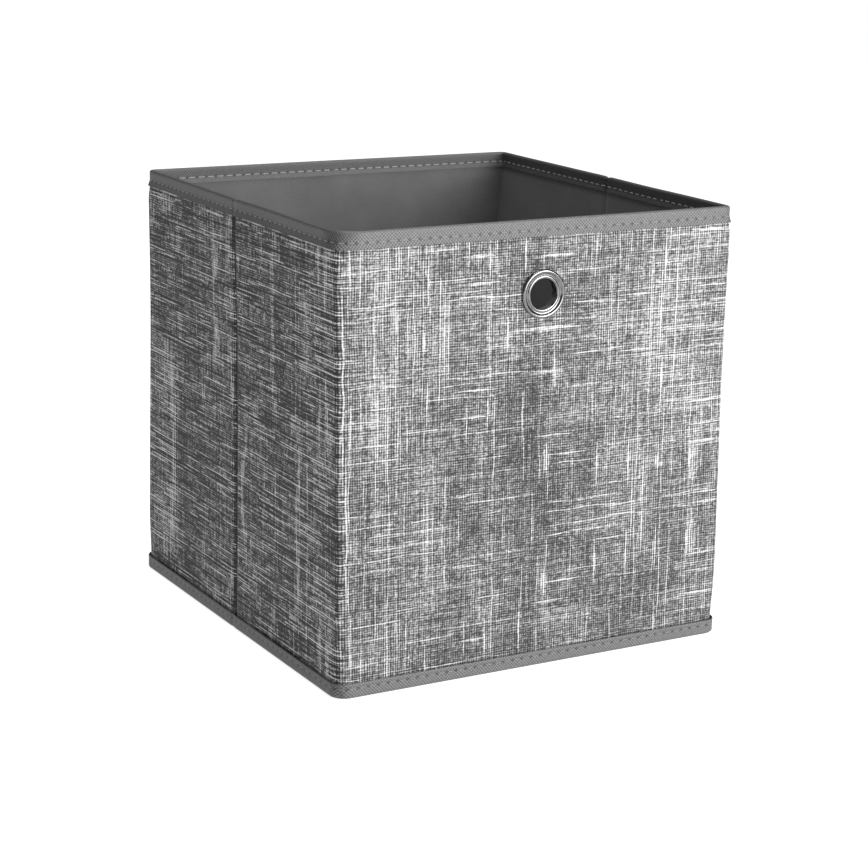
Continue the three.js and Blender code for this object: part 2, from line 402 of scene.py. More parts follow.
def lathe(name, outline, centre, material, segments=96):
    """A closed outline of (radius, off) points turned round the eyelet's axis, which is along y."""
    angles = np.linspace(0, 2 * math.pi, segments, endpoint=False)
    radius, off = np.array(outline).T
    x = radius[None, :] * np.cos(angles)[:, None]
    z = radius[None, :] * np.sin(angles)[:, None]
    y = np.repeat(-off[None, :], segments, 0)
    points = np.stack([x, y, z], -1).reshape(-1, 3) + np.array(centre)
    n = len(radius)
    faces = ring_faces(segments + 1, n, flip=True) % (segments * n)
    length = np.cumsum(np.hypot(np.diff(radius, append=radius[0]), np.diff(off, append=off[0])))
    uvs = np.stack([np.repeat(angles * radius.max(), n), np.tile(length, segments)], 1)
    return new_mesh(name, points, faces, uvs, material, sharp=50)


STITCH_RINGS, STITCH_SIDES = 9, 8  # points along a stitch and round it


def stitches(name, stretch, off, z, length, radius, material):
    """A row of stitches at off and z, one for each pitch that lies inside the stretch."""
    first = math.ceil((stretch.start - 0.5 * STITCH) / STITCH)
    last = math.floor((stretch.end - 0.5 * STITCH) / STITCH)
    along = np.linspace(-0.5, 0.5, STITCH_RINGS)
    fat = np.sqrt(np.clip(1 - (2 * np.abs(along)) ** 4, 0.02, 1))
    sunk = (2 * np.abs(along)) ** 3
    turns = np.linspace(0, 2 * math.pi, STITCH_SIDES, endpoint=False)
    side = np.cos(turns)[None, :] * radius * fat[:, None] - radius * 0.9 * sunk[:, None]
    lift = np.sin(turns)[None, :] * radius * fat[:, None]
    each = STITCH_RINGS * STITCH_SIDES
    quads = ring_faces(STITCH_RINGS, STITCH_SIDES)
    ends = [list(range(STITCH_SIDES)), list(range(each - 1, each - 1 - STITCH_SIDES, -1))]
    if off < BOARD_OUT:
        quads, ends = quads[:, ::-1], [end[::-1] for end in ends]
    points, faces, uvs = [], [], []
    for k in range(first, last + 1):
        u = np.clip((k + 0.5) * STITCH + along * length, stretch.start, stretch.end)
        ring_u = np.repeat(u[:, None], STITCH_SIDES, 1)
        base = len(points) * each
        faces += (quads + base).tolist() + [[base + n for n in end] for end in ends]
        points.append(place(ring_u, off + side * np.sign(off - BOARD_OUT), z + lift))
        uvs.append(np.stack([ring_u.ravel(), (z + lift).ravel()], 1))
    return new_mesh(name, np.concatenate(points), faces, np.concatenate(uvs), material, sharp=60)


# ---- materials ----


class Wire:
    """A value in a material's nodes, so that patterns read as arithmetic."""

    def __init__(self, tree, socket):
        self.tree, self.socket = tree, socket

    def feed(self, slot):
        self.tree.links.new(self.socket, slot)

    def node(self, kind, slots, values):
        """A new node with these wires or values in these slots, or else in its first ones."""
        node = self.tree.nodes.new("ShaderNode" + kind)
        for slot, value in zip(slots or range(len(values)), values):
            if isinstance(value, Wire):
                value.feed(node.inputs[slot])
            else:
                node.inputs[slot].default_value = value
        return node

    def math(self, kind, *others):
        node = self.node("Math", (), (self, *others))
        node.operation = kind
        return Wire(self.tree, node.outputs[0])

    def __add__(self, other):
        return self.math("ADD", other)

    def __sub__(self, other):
        return self.math("SUBTRACT", other)

    def __mul__(self, other):
        return self.math("MULTIPLY", other)

    def __truediv__(self, other):
        return self.math("DIVIDE", other)

    def __neg__(self):
        return self * -1.0

    def abs(self):
        return self.math("ABSOLUTE")

    def floor(self):
        return self.math("FLOOR")

    def wave(self, period):
        """A sine of this period, from -1 to 1."""
        return (self * (2 * math.pi / period)).math("SINE")

    def up_to(self, other):
        return self.math("MAXIMUM", other)

    def at_most(self, other):
        return self.math("MINIMUM", other)

    def step(self, low, high):
        """0 below low, 1 above high and smooth in between."""
        node = self.node("MapRange", ("Value", "From Min", "From Max"), (self, low, high))
        node.interpolation_type = "SMOOTHSTEP"
        return Wire(self.tree, node.outputs[0])

    def bell(self, width):
        """1 at 0, falling off to 0 within about twice the width."""
        ratio = self / width
        return (ratio * ratio * -1.0).math("EXPONENT")

    def chance(self, seed, other=0.0):
        """A random number from 0 to 1 for each whole value of this and of other."""
        where = self.vector(self, other, seed + 0.5)
        node = self.node("TexWhiteNoise", ("Vector",), (where,))
        node.noise_dimensions = "3D"
        return Wire(self.tree, node.outputs["Value"])

    def vector(self, x, y, z):
        return Wire(self.tree, self.node("CombineXYZ", (), (x, y, z)).outputs[0])

    def oval(self, middle, height, half_width, half_height, inside):
        """For a vector: 1 within this share of an oval's size, falling smoothly to 0 at its edge."""
        values = (self, (middle, height, 0), (half_width, half_height, 1))
        fitted = self.node("Mapping", ("Vector", "Location", "Scale"), values)
        fitted.vector_type = "TEXTURE"
        length = self.node("VectorMath", (), (Wire(self.tree, fitted.outputs[0]),))
        length.operation = "LENGTH"
        return Wire(self.tree, length.outputs["Value"]).step(1.0, inside)

    def noise(self, other, seed, detail=0.0):
        """Soft noise over this and other, about one bump to the unit, mostly from 0.3 to 0.7."""
        where = self.vector(self, other, seed + 0.37)
        node = self.node("TexNoise", ("Vector", "Scale", "Detail"), (where, 1.0, detail))
        return Wire(self.tree, node.outputs[0])

    def ramp(self, *stops):
        """A colour for this value, from (position, grey or colour) stops."""
        node = self.node("ValToRGB", (), (self,))
        elements = node.color_ramp.elements
        while len(elements) < len(stops):
            elements.new(0.5)
        for element, (position, tone) in zip(elements, stops):
            element.position = position
            colour = (tone,) * 3 if isinstance(tone, float) else tone
            element.color = (*colour, 1)
        return Wire(self.tree, node.outputs[0])


def plain_material(name, values):
    """A material and its shader, with these values for the shader's inputs."""
    material = bpy.data.materials.new(name)
    material.use_nodes = True
    shader = material.node_tree.nodes["Principled BSDF"]
    for key, value in values.items():
        shader.inputs[key].default_value = value
    return material, shader


def new_material(name, roughness, sheen=0.0, metallic=0.0, specular=0.5):
    """A material, its shader, and u and z (or the way along an outline) as wires in millimetres."""
    material, shader = plain_material(name, {
        "Roughness": roughness, "Sheen Weight": sheen, "Metallic": metallic,
        "Specular IOR Level": specular,
    })
    tree = material.node_tree
    cloth = tree.nodes.new("ShaderNodeUVMap")
    cloth.uv_map = "cloth"
    split = tree.nodes.new("ShaderNodeSeparateXYZ")
    tree.links.new(cloth.outputs["UV"], split.inputs[0])
    u, v = (Wire(tree, split.outputs[i]) * 1000.0 for i in (0, 1))
    return material, shader, u, v


def paint(shader, colour):
    colour.feed(shader.inputs["Base Color"])


def emboss(shader, height, depth):
    """Bumps of this depth in metres where height is 1."""
    bump = height.node("Bump", ("Height", "Distance"), (height, depth))
    Wire(height.tree, bump.outputs[0]).feed(shader.inputs["Normal"])


def threads(across, along, pitch, half_width, length, least, seed):
    """Printed threads side by side, each shown in stretches: 1 on a thread and 0 off it.

    A stretch is shown where its noise is above least. The factors on row only set rows apart.
    """
    row = (across / pitch).floor()
    waver = ((along / 26.0).noise(row * 3.7, seed) - 0.5) * (0.45 * pitch)
    middle = (row + 0.5 + (row.chance(seed) - 0.5) * 0.55) * pitch + waver
    swell = (along / (0.4 * length)).noise(row * 2.3, seed + 5)
    width = (row.chance(seed + 1) * 0.7 + swell * 1.3) * half_width
    near = (-((across - middle).abs() / width) + 1.15).step(0.0, 0.75)
    shown = (along / length).noise(row * 5.3, seed + 2).step(least, least + 0.05)
    return near * shown


def slubs(across, along, pitch, spacing, half_length, seed):
    """Short thick places, one at most in each cell, thin at both ends."""
    row, cell = (across / pitch).floor(), (along / spacing).floor()
    here = row.chance(seed + 3, cell).step(0.55, 0.56)
    middle = (row + 0.5 + (row.chance(seed, cell) - 0.5) * 0.6) * pitch
    centre = (cell + 0.5 + (row.chance(seed + 1, cell) - 0.5) * 0.4) * spacing
    reach = (along - centre).abs() / half_length
    waver = ((along / 9.0).noise(row, seed) - 0.5) * 1.2
    thick = (reach * 2.6).bell(1.0) * 0.75 + 0.28
    near = (-((across - middle - waver).abs() / thick) + 1.2).step(0.0, 0.8)
    return near * here * (-reach + 1.0).step(0.0, 0.25)


def dashes(across, along, pitch, length, seed):
    """Short dashes side by side, each of a random grey from -0.5 to 0.5, in lines that are offset."""
    row = (across / pitch).floor()
    cell = (along / length + row.chance(seed)).floor()
    return row.chance(seed + 1, cell) - 0.5


def fine_weave(u, z):
    """Two sets of threads that drift a little, and short dashes of random greys."""
    warp = (u + (u / 7.0).noise(z / 16.0, 6) * DRIFT).wave(WARP_PITCH)
    weft = (z + (u / 16.0).noise(z / 7.0, 7) * DRIFT).wave(WEFT_PITCH)
    weave = ((warp + weft).step(-1.3, 0.9) - 0.5) * 0.36
    return weave + dashes(u, z, 0.87, 1.6, 1) * 0.24 + dashes(z, u, 0.81, 2.4, 2) * 0.24


def painted_light_and_tone_zones(u, z, v):
    """Large places where the print is lighter or darker: random tone, and zones on the front, whose broad
    lighter ones are painted light.
    """
    zones = ((u / 48.0).noise(v / 60.0, 4, detail=1.0) - 0.5) * 0.26
    point = u.vector(u, z, 0.0)
    # painted light: the broad lighter zones at the front's top and right
    for middle, height, wide, tall, gain in FRONT_ZONES:
        zones = zones + point.oval(middle, height, wide, tall, 0.0) * gain
    return zones


def white_threads(u, z, v):
    """1 on the whitest threads, the slubs and the thick marks, and 0 off them."""
    warp = threads(u, v, 6.7, 0.42, 52.0, 0.53, 60)
    weft = threads(v, u, 8.3, 0.42, 42.0, 0.55, 70)
    thick = slubs(v, u, 16.0, 66.0, 17.0, 80).up_to(slubs(u, v, 23.0, 54.0, 18.0, 90))
    white = (warp.up_to(weft) * 0.85).up_to(thick)
    bent = (u / 17.0).noise(z / 17.0, 100) * 3.0 - 1.5
    point = u.vector(u + bent, z + bent, 0.0)
    for middle, height, wide, tall in PRINT_MARKS:
        white = white.up_to(point.oval(middle, height, wide, tall, 0.6))
    return white


def printed_fabric():
    """Grey cloth printed with a coarse linen weave, whose pattern turns over at every repeat."""
    material, shader, u, z = new_material("printed_linen", 0.86, sheen=0.05, specular=0.3)
    v = (z - PRINT_TURN).math("PINGPONG", PRINT_REPEAT)
    # side is 1 on the left wall, where the print is painted darker as painted shade
    side = (u - LEFT_MM).abs().step(SIDE_END, SIDE_END - 7.0)
    weave, zones, white = fine_weave(u, z), painted_light_and_tone_zones(u, z, v), white_threads(u, z, v)
    cloud = ((u / 5.0).noise(z / 9.0, 5, detail=1.0) - 0.5) * 0.20
    # painted shade: a dark line along the left wall's crease
    crease = (u - LEFT_MM).bell(CREASE_SHADE)
    tone = weave + cloud + zones - crease * 0.30 + 0.36
    dark_warp = threads(u, v, 4.3, 0.6, 22.0, 0.53, 10)
    dark_weft = threads(v, u, 2.9, 0.75, 40.0, 0.49, 20)
    tone = tone - dark_warp * 0.12 - dark_weft * (side * 0.24 + 0.10)
    faint_warp = threads(u, v, 2.1, 0.42, 34.0, 0.50, 30)
    faint_weft = threads(v, u, 2.6, 0.42, 30.0, 0.50, 40)
    tone = tone + faint_warp * (zones + 0.15) + faint_weft * (zones + side * 0.28 + 0.13)
    glow = (u / 9.0).noise(v / 55.0, 50).step(0.62, 0.80)
    tone = tone + glow * (faint_warp * 0.35 + 0.13)
    # on the left wall the print is painted darker, as painted shade, and it has more contrast, and its
    # white threads are fainter
    worn = (weave * 0.3 + 0.92).at_most(1.0)
    tone = (tone - 0.42) * (side * 0.8 + 1.5) + white * worn * (side * -0.15 + 0.68)
    # painted shade: the print on the left wall is made darker
    tone = (tone + 0.385 - side * 0.17) * 0.75
    paint(shader, tone.ramp((0.0, 0.021), (0.19, 0.064), (0.38, 0.140), (0.56, 0.27), (0.95, 0.52)))
    emboss(shader, weave + white * 0.5, 0.10 * MM)
    return material


TAPE_LATTICE = 2.3  # mm


def binding_tape(seams):
    """Non-woven tape pressed with a diamond lattice, and sewn at seams, in mm along its outline."""
    material, shader, u, v = new_material("binding_tape", roughness=0.5)
    lattice = u.wave(TAPE_LATTICE) * v.wave(TAPE_LATTICE) * 0.5 + 0.5
    fibres = (u * 1.3).noise(v * 1.3, 7, detail=2.0)
    tone = (lattice - 0.5) * 0.9 + (fibres - 0.5) * 0.8 + 0.5
    # painted shade: the needle holes, and a band along each seam where it dips in, are made darker
    for seam in seams:
        beside = (u / (STITCH / MM)).math("FRACT")
        to_hole = ((beside - 0.5).abs() * -1.0 + 0.5) * (STITCH / MM)
        hole = (to_hole.bell(0.9) * (v - seam).bell(0.75)).at_most(1.0)
        tone = tone - hole * 0.85 - (v - seam).bell(0.9) * 0.08
    # painted shade: the tape on the left and right walls is made darker
    for middle in (LEFT_MM, 0.0, ROUND / MM):
        tone = tone - (u - middle).abs().step(SIDE_END, SIDE_END - 12.0) * 0.26
    paint(shader, tone.ramp((0.0, 0.018), (0.5, 0.080), (1.0, 0.16)))
    emboss(shader, lattice + fibres * 0.8, 0.16 * MM)
    return material


def lining_fabric():
    """Plain grey non-woven cloth with a fine pressed dot and a little cloudiness."""
    material, shader, u, v = new_material("lining_nonwoven", roughness=0.84, sheen=0.1)
    dots = ((u + v).wave(2.4) * (u - v).wave(2.4)) * 0.5 + 0.5
    fibres = (u * 1.1).noise(v * 1.1, 11, detail=3.0)
    clouds = (u / 28.0).noise(v / 28.0, 12, detail=2.0)
    tone = (dots - 0.5) * 0.12 + (fibres - 0.5) * 0.5 + (clouds - 0.5) * 0.5 + 0.5
    paint(shader, tone.ramp((0.0, 0.085), (0.5, 0.14), (1.0, 0.20)))
    emboss(shader, dots * 0.5 + fibres, 0.07 * MM)
    return material


def cardboard():
    """Grey board with flecks of recycled fibre."""
    material, shader, u, v = new_material("wall_board", roughness=0.9)
    fibres = (u * 0.9).noise(v * 0.9, 13, detail=4.0)
    flecks = (u * 0.35).noise(v * 0.35, 14, detail=1.0).step(0.62, 0.7)
    tone = (fibres - 0.5) * 0.8 - flecks * 0.2 + 0.5
    paint(shader, tone.ramp((0.0, (0.20, 0.17, 0.13)), (1.0, (0.42, 0.37, 0.30))))
    emboss(shader, fibres, 0.05 * MM)
    return material


def sewing_thread(name, low, high):
    """Twisted thread: bands that slant across it."""
    material, shader, u, v = new_material(name, roughness=0.6, sheen=0.2)
    twist = (u + v * 1.5).wave(0.7) * 0.5 + 0.5
    paint(shader, (twist * 0.6 + (u * 2.0).noise(v, 15) * 0.4).ramp((0.0, low), (1.0, high)))
    emboss(shader, twist, 0.06 * MM)
    return material


def nickel(name, low, high, dullest):
    """Plated metal with faint polishing marks round it and a few duller places."""
    material, shader, u, v = new_material(name, roughness=dullest, metallic=1.0)
    marks = (u * 0.15).noise(v * 5.0, 16, detail=2.0)
    smears = (u / 6.0).noise(v / 3.0, 17, detail=2.0)
    paint(shader, smears.ramp((0.3, low), (0.7, high)))
    rough = smears * (0.6 * dullest) + 0.4 * dullest
    rough.feed(shader.inputs["Roughness"])
    emboss(shader, marks, 0.003 * MM)
    return material


PRINT_TURN = 100.0  # mm above the ground where the print turns over
PRINT_REPEAT = 127.0  # mm from there to the next such line
WARP_PITCH, WEFT_PITCH = 1.74, 1.62  # mm
DRIFT = 1.6  # mm that a thread of the weave wanders
CREASE_SHADE = 2.4  # mm, half the width of the painted shade along the left wall's crease
SIDE_END = 152.0  # mm from a side wall's middle, where the painted shade on its print and tape ends
FRONT_MM, LEFT_MM = U_FRONT / MM, U_LEFT / MM
# zones on the front, the broad lighter ones at its top and right painted light: u and z of the middle,
# half width, half height, how much
FRONT_ZONES = (
    (FRONT_MM - 121, 190, 9, 120, 0.13),
    (FRONT_MM - 85, 250, 130, 120, 0.09),
    (FRONT_MM + 110, 220, 120, 170, 0.11),
    (FRONT_MM + 80, 45, 85, 60, -0.04),
    (FRONT_MM - 5, 120, 85, 100, -0.07),
)
# white marks above and below the eyelet and up the front's left edge: the same without how much
PRINT_MARKS = (
    (FRONT_MM + 8, 276, 20, 1.1),
    (FRONT_MM + 5, 229, 27, 1.3),
    (FRONT_MM - 144.5, 205, 0.8, 80),
    (FRONT_MM - 142.5, 110, 0.8, 60),
)

LINEN = printed_fabric()
LINING = lining_fabric()
BOARD = cardboard()
THREAD_OUT = sewing_thread("thread_outside", 0.13, 0.22)
THREAD_IN = sewing_thread("thread_inside", 0.22, 0.40)
NICKEL = nickel("polished_nickel", 0.12, 0.18, 0.13)
NICKEL_INSIDE = nickel("unpolished_nickel", 0.12, 0.22, 0.6)

# ---- walls ----

SKIN_GROOVE, LINING_GROOVE = 1.6 * MM, 1.3 * MM  # depth of the crease in each cloth
GROOVE_WIDTH = 2.2 * MM
CLOTH_RISE, BOARD_RISE = 6 * MM, 8 * MM  # spacing of the points up a cloth and up a board
CORNER_ROOM = 7 * MM  # the boards stop this far short of the CAD's, for the cloths to turn


def finish_strip(piece, stretch, layer):
    follow(piece, stretch)
    if stretch.replaces:
        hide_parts(*(f"{wall}_{layer}" for wall in stretch.replaces))


def declare(piece):
    return piece


def levels(low, high, step):
    return np.linspace(low, high, max(2, round((high - low) / step)) + 1)


def make_cloth(stretch, layer, off_at, thickness, material, inward):
    hole = EYELET_HOLE if stretch.name == "front_left" else None
    z = levels(WALL_BOTTOM, WALL_TOP, CLOTH_RISE)
    name = f"{stretch.name}_{layer}"
    piece = cloth_strip(name, stretch, off_at, z, thickness, material, inward, hole)
    finish_strip(piece, stretch, layer)
    return declare(piece)


def skin_off(u, z):
    return -SKIN_GROOVE * near_crease(u, GROOVE_WIDTH)


def lining_off(u, z):
    return LINING_IN + LINING_GROOVE * near_crease(u, GROOVE_WIDTH)


SEAM_DEPTH, SEAM_HEIGHT = 0.12 * MM, 1.6 * MM  # the dip along a row of stitches
HOLE_DEPTH, HOLE_LENGTH, HOLE_HEIGHT = 0.3 * MM, 1.0 * MM, 0.8 * MM  # and at each needle hole


def seam_dip(u, away):
    """How far a row of stitches pulls cloth in, at u and this far above or below the row."""
    to_hole = np.abs((u / STITCH + 0.5) % 1 - 0.5) * STITCH
    at_hole = np.exp(-((to_hole / HOLE_LENGTH) ** 2) - (away / HOLE_HEIGHT) ** 2)
    return SEAM_DEPTH * np.exp(-((away / SEAM_HEIGHT) ** 2)) + HOLE_DEPTH * at_hole


RIM_ROUND = 1.7 * MM  # height of the fold over the rim
RIM_NOTCH = 0.8 * MM  # how far the rim drops at a crease
TAPE_GROOVE_OUT, TAPE_GROOVE_IN = 0.7 * MM, 1.4 * MM  # depth of the crease in the upper tape
TAPE_LIP = 0.25 * MM  # how far the upper tape's lower edge stands off


def leaf_levels(low, high, seam):
    """Heights up a leaf of tape, close together at its seam."""
    return np.unique(np.concatenate([
        np.linspace(low, high, 7), seam + np.array([-1.6, -0.9, -0.4, 0, 0.4, 0.9, 1.6]) * MM,
    ]))


def top_outline(u):
    """The upper tape: up its outer leaf, over the rim and down its inner leaf."""
    middle, half = (TAPE_OUT + TAPE_IN) / 2, (TAPE_OUT - TAPE_IN) / 2
    side = leaf_levels(TAPE_BOTTOM, RIM - RIM_ROUND, TOP_SEAM)
    turn = np.radians(np.arange(12, 169, 12))

    def around(width, height):
        over = middle + width * np.sign(np.cos(turn)) * np.abs(np.cos(turn)) ** 0.75
        off = np.concatenate([side * 0 + middle + width, over, side * 0 + middle - width])
        z = np.concatenate([side, RIM - RIM_ROUND + height * np.sin(turn), side[::-1]])
        return off[None, :], z[None, :]

    off, z = around(half, RIM_ROUND)
    back_off, back_z = around(half - TAPE_THICK, RIM_ROUND - TAPE_THICK)
    u = u[:, None]
    outer = (off > middle).astype(float)
    lean = (off - middle) / half
    dip = seam_dip(u, z - TOP_SEAM)
    groove = near_crease(u, GROOVE_WIDTH) * np.where(lean > 0, TAPE_GROOVE_OUT, TAPE_GROOVE_IN)
    lip = TAPE_LIP * np.exp(-((z - TAPE_BOTTOM) / (1.2 * MM)))
    shift = -lean * (dip * 0.8 + groove) + lean * lip * outer
    drop = RIM_NOTCH * near_crease(u, GROOVE_WIDTH) * (z > RIM - RIM_ROUND)
    seen = np.stack([off + shift, z - drop], -1)
    hidden = np.stack([back_off + shift * 0.9, back_z - drop], -1)
    return seen, hidden


FOOT_LEAF = 1.8 * MM  # thickness of the lower tape on the wall
FOOT_UNDER = 1.2 * MM  # and under it
FOOT_ROUND = 2.0 * MM
FOOT_LIP = 0.9 * MM  # how much thinner it is at its upper edge
FOOT_GROOVE = 0.5 * MM
MITRE_DEPTH, MITRE_WIDTH, MITRE_LEAN = 1.1 * MM, 0.9 * MM, 4 * MM  # the tape's fold at a corner


def foot_outline(u):
    """The lower tape: out under the wall, round its edge and up to its turned-in top."""
    edge = FOOT_OUT - FOOT_ROUND
    turn = np.radians(np.arange(-90, 1, 15))
    side = leaf_levels(FOOT_ROUND + 0.5 * MM, FOOT_TOP - FOOT_EDGE, FOOT_SEAM)
    under = np.linspace(LINING_IN, edge - 0.5 * MM, 3)
    roll = np.radians(np.arange(15, 136, 20))
    fold = 0.5 * MM
    off = np.concatenate([under, edge + FOOT_ROUND * np.cos(turn), side * 0 + FOOT_OUT,
                          FOOT_OUT - fold + fold * np.cos(roll)])[None, :]
    z = np.concatenate([under * 0, FOOT_ROUND + FOOT_ROUND * np.sin(turn), side,
                        FOOT_TOP - FOOT_EDGE + FOOT_EDGE * np.sin(roll)])[None, :]
    lip = FOOT_LIP * rise(z, FOOT_TOP - 3 * MM, FOOT_TOP - 1 * MM)
    clear = 0.02 * MM  # of the outer fabric
    back_off = np.minimum(off, FOOT_OUT - FOOT_LEAF + clear + lip)
    back_z = np.clip(z, FOOT_UNDER, FOOT_TOP - 0.5 * MM)
    u = u[:, None]
    dip = seam_dip(u, z - FOOT_SEAM)
    on_side = off > FOOT_OUT - 0.1 * MM
    for corner in CORNERS:
        mitre = u - corner + MITRE_LEAN * (z / FOOT_TOP - 0.5)
        dip = dip + MITRE_DEPTH * np.exp(-((mitre / MITRE_WIDTH) ** 2)) * (z > 1.5 * MM)
    groove = FOOT_GROOVE * near_crease(u, GROOVE_WIDTH) * (z > 0.1 * MM)
    shift = on_side * dip * -0.7 - groove
    seen = np.stack(np.broadcast_arrays(off + shift, z + 0 * u), -1)
    hidden = np.stack(np.broadcast_arrays(back_off + 0 * u, back_z + 0 * u), -1)
    return seen, hidden


def outline_ways(outline, seam):
    """The ways along an outline, in mm, at which it passes the height of its seam."""
    level = seam - 1e-6  # just below the points at the seam, to count each crossing once
    seen, _ = outline(np.array([8.5 * STITCH]))  # a place between two needle holes
    way = np.concatenate([[0], np.cumsum(np.hypot(*np.diff(seen[0], axis=0).T))])
    z = seen[0, :, 1]
    cross = [k for k in range(len(z) - 1) if (z[k] - level) * (z[k + 1] - level) <= 0]
    ways = [way[k] + abs(level - z[k]) for k in cross if abs(z[k + 1] - z[k]) > 1e-9]
    return sorted({round(w / MM, 2) for w in ways})


TOP_TAPE = binding_tape(outline_ways(top_outline, TOP_SEAM))
FOOT_TAPE = binding_tape(outline_ways(foot_outline, FOOT_SEAM))


def make_tape(stretch, layer, outline, material):
    name = f"{stretch.name}_{layer}"
    piece = swept_strip(name, stretch, outline, material)
    finish_strip(piece, stretch, layer)
    return declare(piece)


def make_stitches(stretch):
    rows = [  # name, off, height, length and radius in mm, thread
        ("top_seam_outside", TAPE_OUT - 0.22 * MM, TOP_SEAM, 5.4, 0.28, THREAD_OUT),
        ("top_seam_inside", TAPE_IN + 0.12 * MM, TOP_SEAM, 5.7, 0.36, THREAD_IN),
        ("foot_seam", FOOT_OUT - 0.2 * MM, FOOT_SEAM, 5.4, 0.26, THREAD_OUT),
    ]
    for row, off, z, length, radius, material in rows:
        piece = stitches(f"{stretch.name}_{row}", stretch, off, z, length * MM, radius * MM, material)
        follow(piece, stretch)


def make_walls():
    for stretch in STRETCHES:
        make_cloth(stretch, "outer_fabric", skin_off, SKIN_THICK, LINEN, False)
        make_cloth(stretch, "lining", lining_off, LINING_THICK, LINING, True)
        make_tape(stretch, "top_binding", top_outline, TOP_TAPE)
        make_tape(stretch, "bottom_binding", foot_outline, FOOT_TAPE)
        make_stitches(stretch)


def make_board(wall, start, end):
    """The stiff board between the cloths of one wall."""
    low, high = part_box(f"{wall}_board")
    stretch = Stretch(wall, start, end, (wall,), (wall,))
    hole = EYELET_HOLE if wall == "front" else None
    z = levels(low.z, high.z, BOARD_RISE)
    thickness = BOARD_OUT - BOARD_IN
    piece = cloth_strip(
        f"{wall}_stiffener", stretch, lambda u, z: BOARD_OUT + 0 * u, z, thickness, BOARD, False, hole
    )
    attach(piece, wall)
    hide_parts(f"{wall}_board")


def make_boards():
    """The boards stop a little short of the corners, where the cloths bend as the bin folds."""
    reach = BOARD_END - CORNER_ROOM
    make_board("front", U_FRONT - reach, U_FRONT + reach)
    make_board("back", U_BACK - reach, U_BACK + reach)
    make_board("left_rear", U_LEFT - reach, U_LEFT - BOARD_SCORE)
    make_board("left_front", U_LEFT + BOARD_SCORE, U_LEFT + reach)
    make_board("right_rear", BOARD_SCORE, reach)
    make_board("right_front", ROUND - reach, ROUND - BOARD_SCORE)


# ---- eyelet ----


def arc_points(centre, radii, start, end, count):
    angles = np.radians(np.linspace(start, end, count))
    return [(centre[0] + radii[0] * math.cos(a), centre[1] + radii[1] * math.sin(a)) for a in angles]


INSIDE_RADIUS, INSIDE_DEPTH = 10.75 * MM, 0.3 * MM  # within and beyond these the metal is dull


def make_eyelet():
    """The eyelet's flange with its bead, the barrel and its curl, and the washer behind."""
    centre = settle(np.array([[0, -SKIN, EYELET_Z]]))[0]
    seat = 0.3  # mm from the outer fabric to the flange's underside
    outer = EYELET_RADIUS / MM
    outline = (  # (radius, off) in mm
        [(outer - 0.5, seat - 0.05), (outer - 0.1, seat + 0.05)]
        + arc_points((outer - 1.35, seat + 0.3), (1.35, 1.15), 0, 158, 14)  # rolled rim
        + [(13.15, seat + 0.35)]  # groove
        + arc_points((11.2, seat + 0.2), (1.2, 0.8), 15, 180, 14)  # bead round the hole
        + [(10.1, -0.3), (10.4, -3.0), (10.4, -4.8)]  # inside of the barrel
        + arc_points((11.75, -5.0), (1.35, 0.9), 180, 360, 12)  # its curl behind the wall
        + arc_points((11.95, -5.0), (0.75, 0.15), 0, 90, 4)
        + [(11.2, -4.2), (11.2, -2.0), (11.2, 0.0), (11.6, seat)]  # outside of the barrel
    )
    eyelet = lathe("eyelet_shell", [(r * MM, o * MM) for r, o in outline[::-1]], centre, NICKEL)
    eyelet.data.materials.append(NICKEL_INSIDE)
    for face in eyelet.data.polygons:
        away = face.center - Vector(centre)
        if math.hypot(away.x, away.z) < INSIDE_RADIUS and away.y > INSIDE_DEPTH:
            face.material_index = 1
    washer_in, washer_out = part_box("eyelet_washer")
    radius = (washer_out.z - washer_in.z) / 2 / MM
    far, near = (-washer_in.y - SKIN) / MM, (-washer_out.y - SKIN) / MM
    ring = [
        (11.6, far), (radius - 0.3, far), (radius, far - 0.2), (radius - 0.1, near + 0.1),
        (radius - 0.7, near), (12.4, near), (11.8, near + 0.05), (11.6, near + 0.2),
    ]
    washer = lathe("eyelet_backing_ring", [(r * MM, o * MM) for r, o in ring], centre, NICKEL)
    for piece, node in ((eyelet, "eyelet"), (washer, "eyelet_washer")):
        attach(piece, "front")
        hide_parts(node)


# ---- floor of the bin ----


def rounded_square(radius):
    """Points round a square of half width 1 with round corners, anticlockwise from above."""
    points = []
    for k in range(4):
        middle = math.radians(45 + 90 * k)
        centre = (1 - radius) * math.sqrt(2) * np.array([math.cos(middle), math.sin(middle)])
        for a in np.linspace(-math.pi / 4, math.pi / 4, 9):
            points.append(centre + radius * np.array([math.cos(middle + a), math.sin(middle + a)]))
    return np.array(points)


SAG = 0.25 * MM  # how uneven the top of a floor panel is


def floor_panel(name, half, radius, layers, material):
    """A flat panel whose edge goes through (inset, z) layers, from under it round to its top."""
    ring = rounded_square(radius / half)
    (low_inset, low), (high_inset, high) = layers[0], layers[-1]
    inner = np.linspace(0.06, 0.94, 12)
    rows = [(share * (half - low_inset), low) for share in inner]
    rows += [(half - inset, z) for inset, z in layers]
    rows += [(share * (half - high_inset), high) for share in inner[::-1]]
    points = np.concatenate([np.column_stack([ring * r, np.full(len(ring), z)]) for r, z in rows])
    n = len(ring)
    faces = ring_faces(len(rows), n, flip=True).tolist()
    faces.append(list(range(n))[::-1])
    faces.append([(len(rows) - 1) * n + k for k in range(n)])
    sag = SAG * np.abs(np.sin(points[:, 0] * 31) * np.sin(points[:, 1] * 27))
    points[:, 2] -= np.where(points[:, 2] > (low + high) / 2, sag, 0)
    return new_mesh(name, settle(points), faces, points[:, :2], material, sharp=40)


def make_floor_cloth():
    low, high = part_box("floor_cloth")
    layers = [(0, low.z), (0, high.z)]
    piece = floor_panel("bottom_cloth", high.x, high.x - CORNER, layers, LINING)
    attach(piece, "front")
    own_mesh(piece)
    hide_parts("floor_cloth")


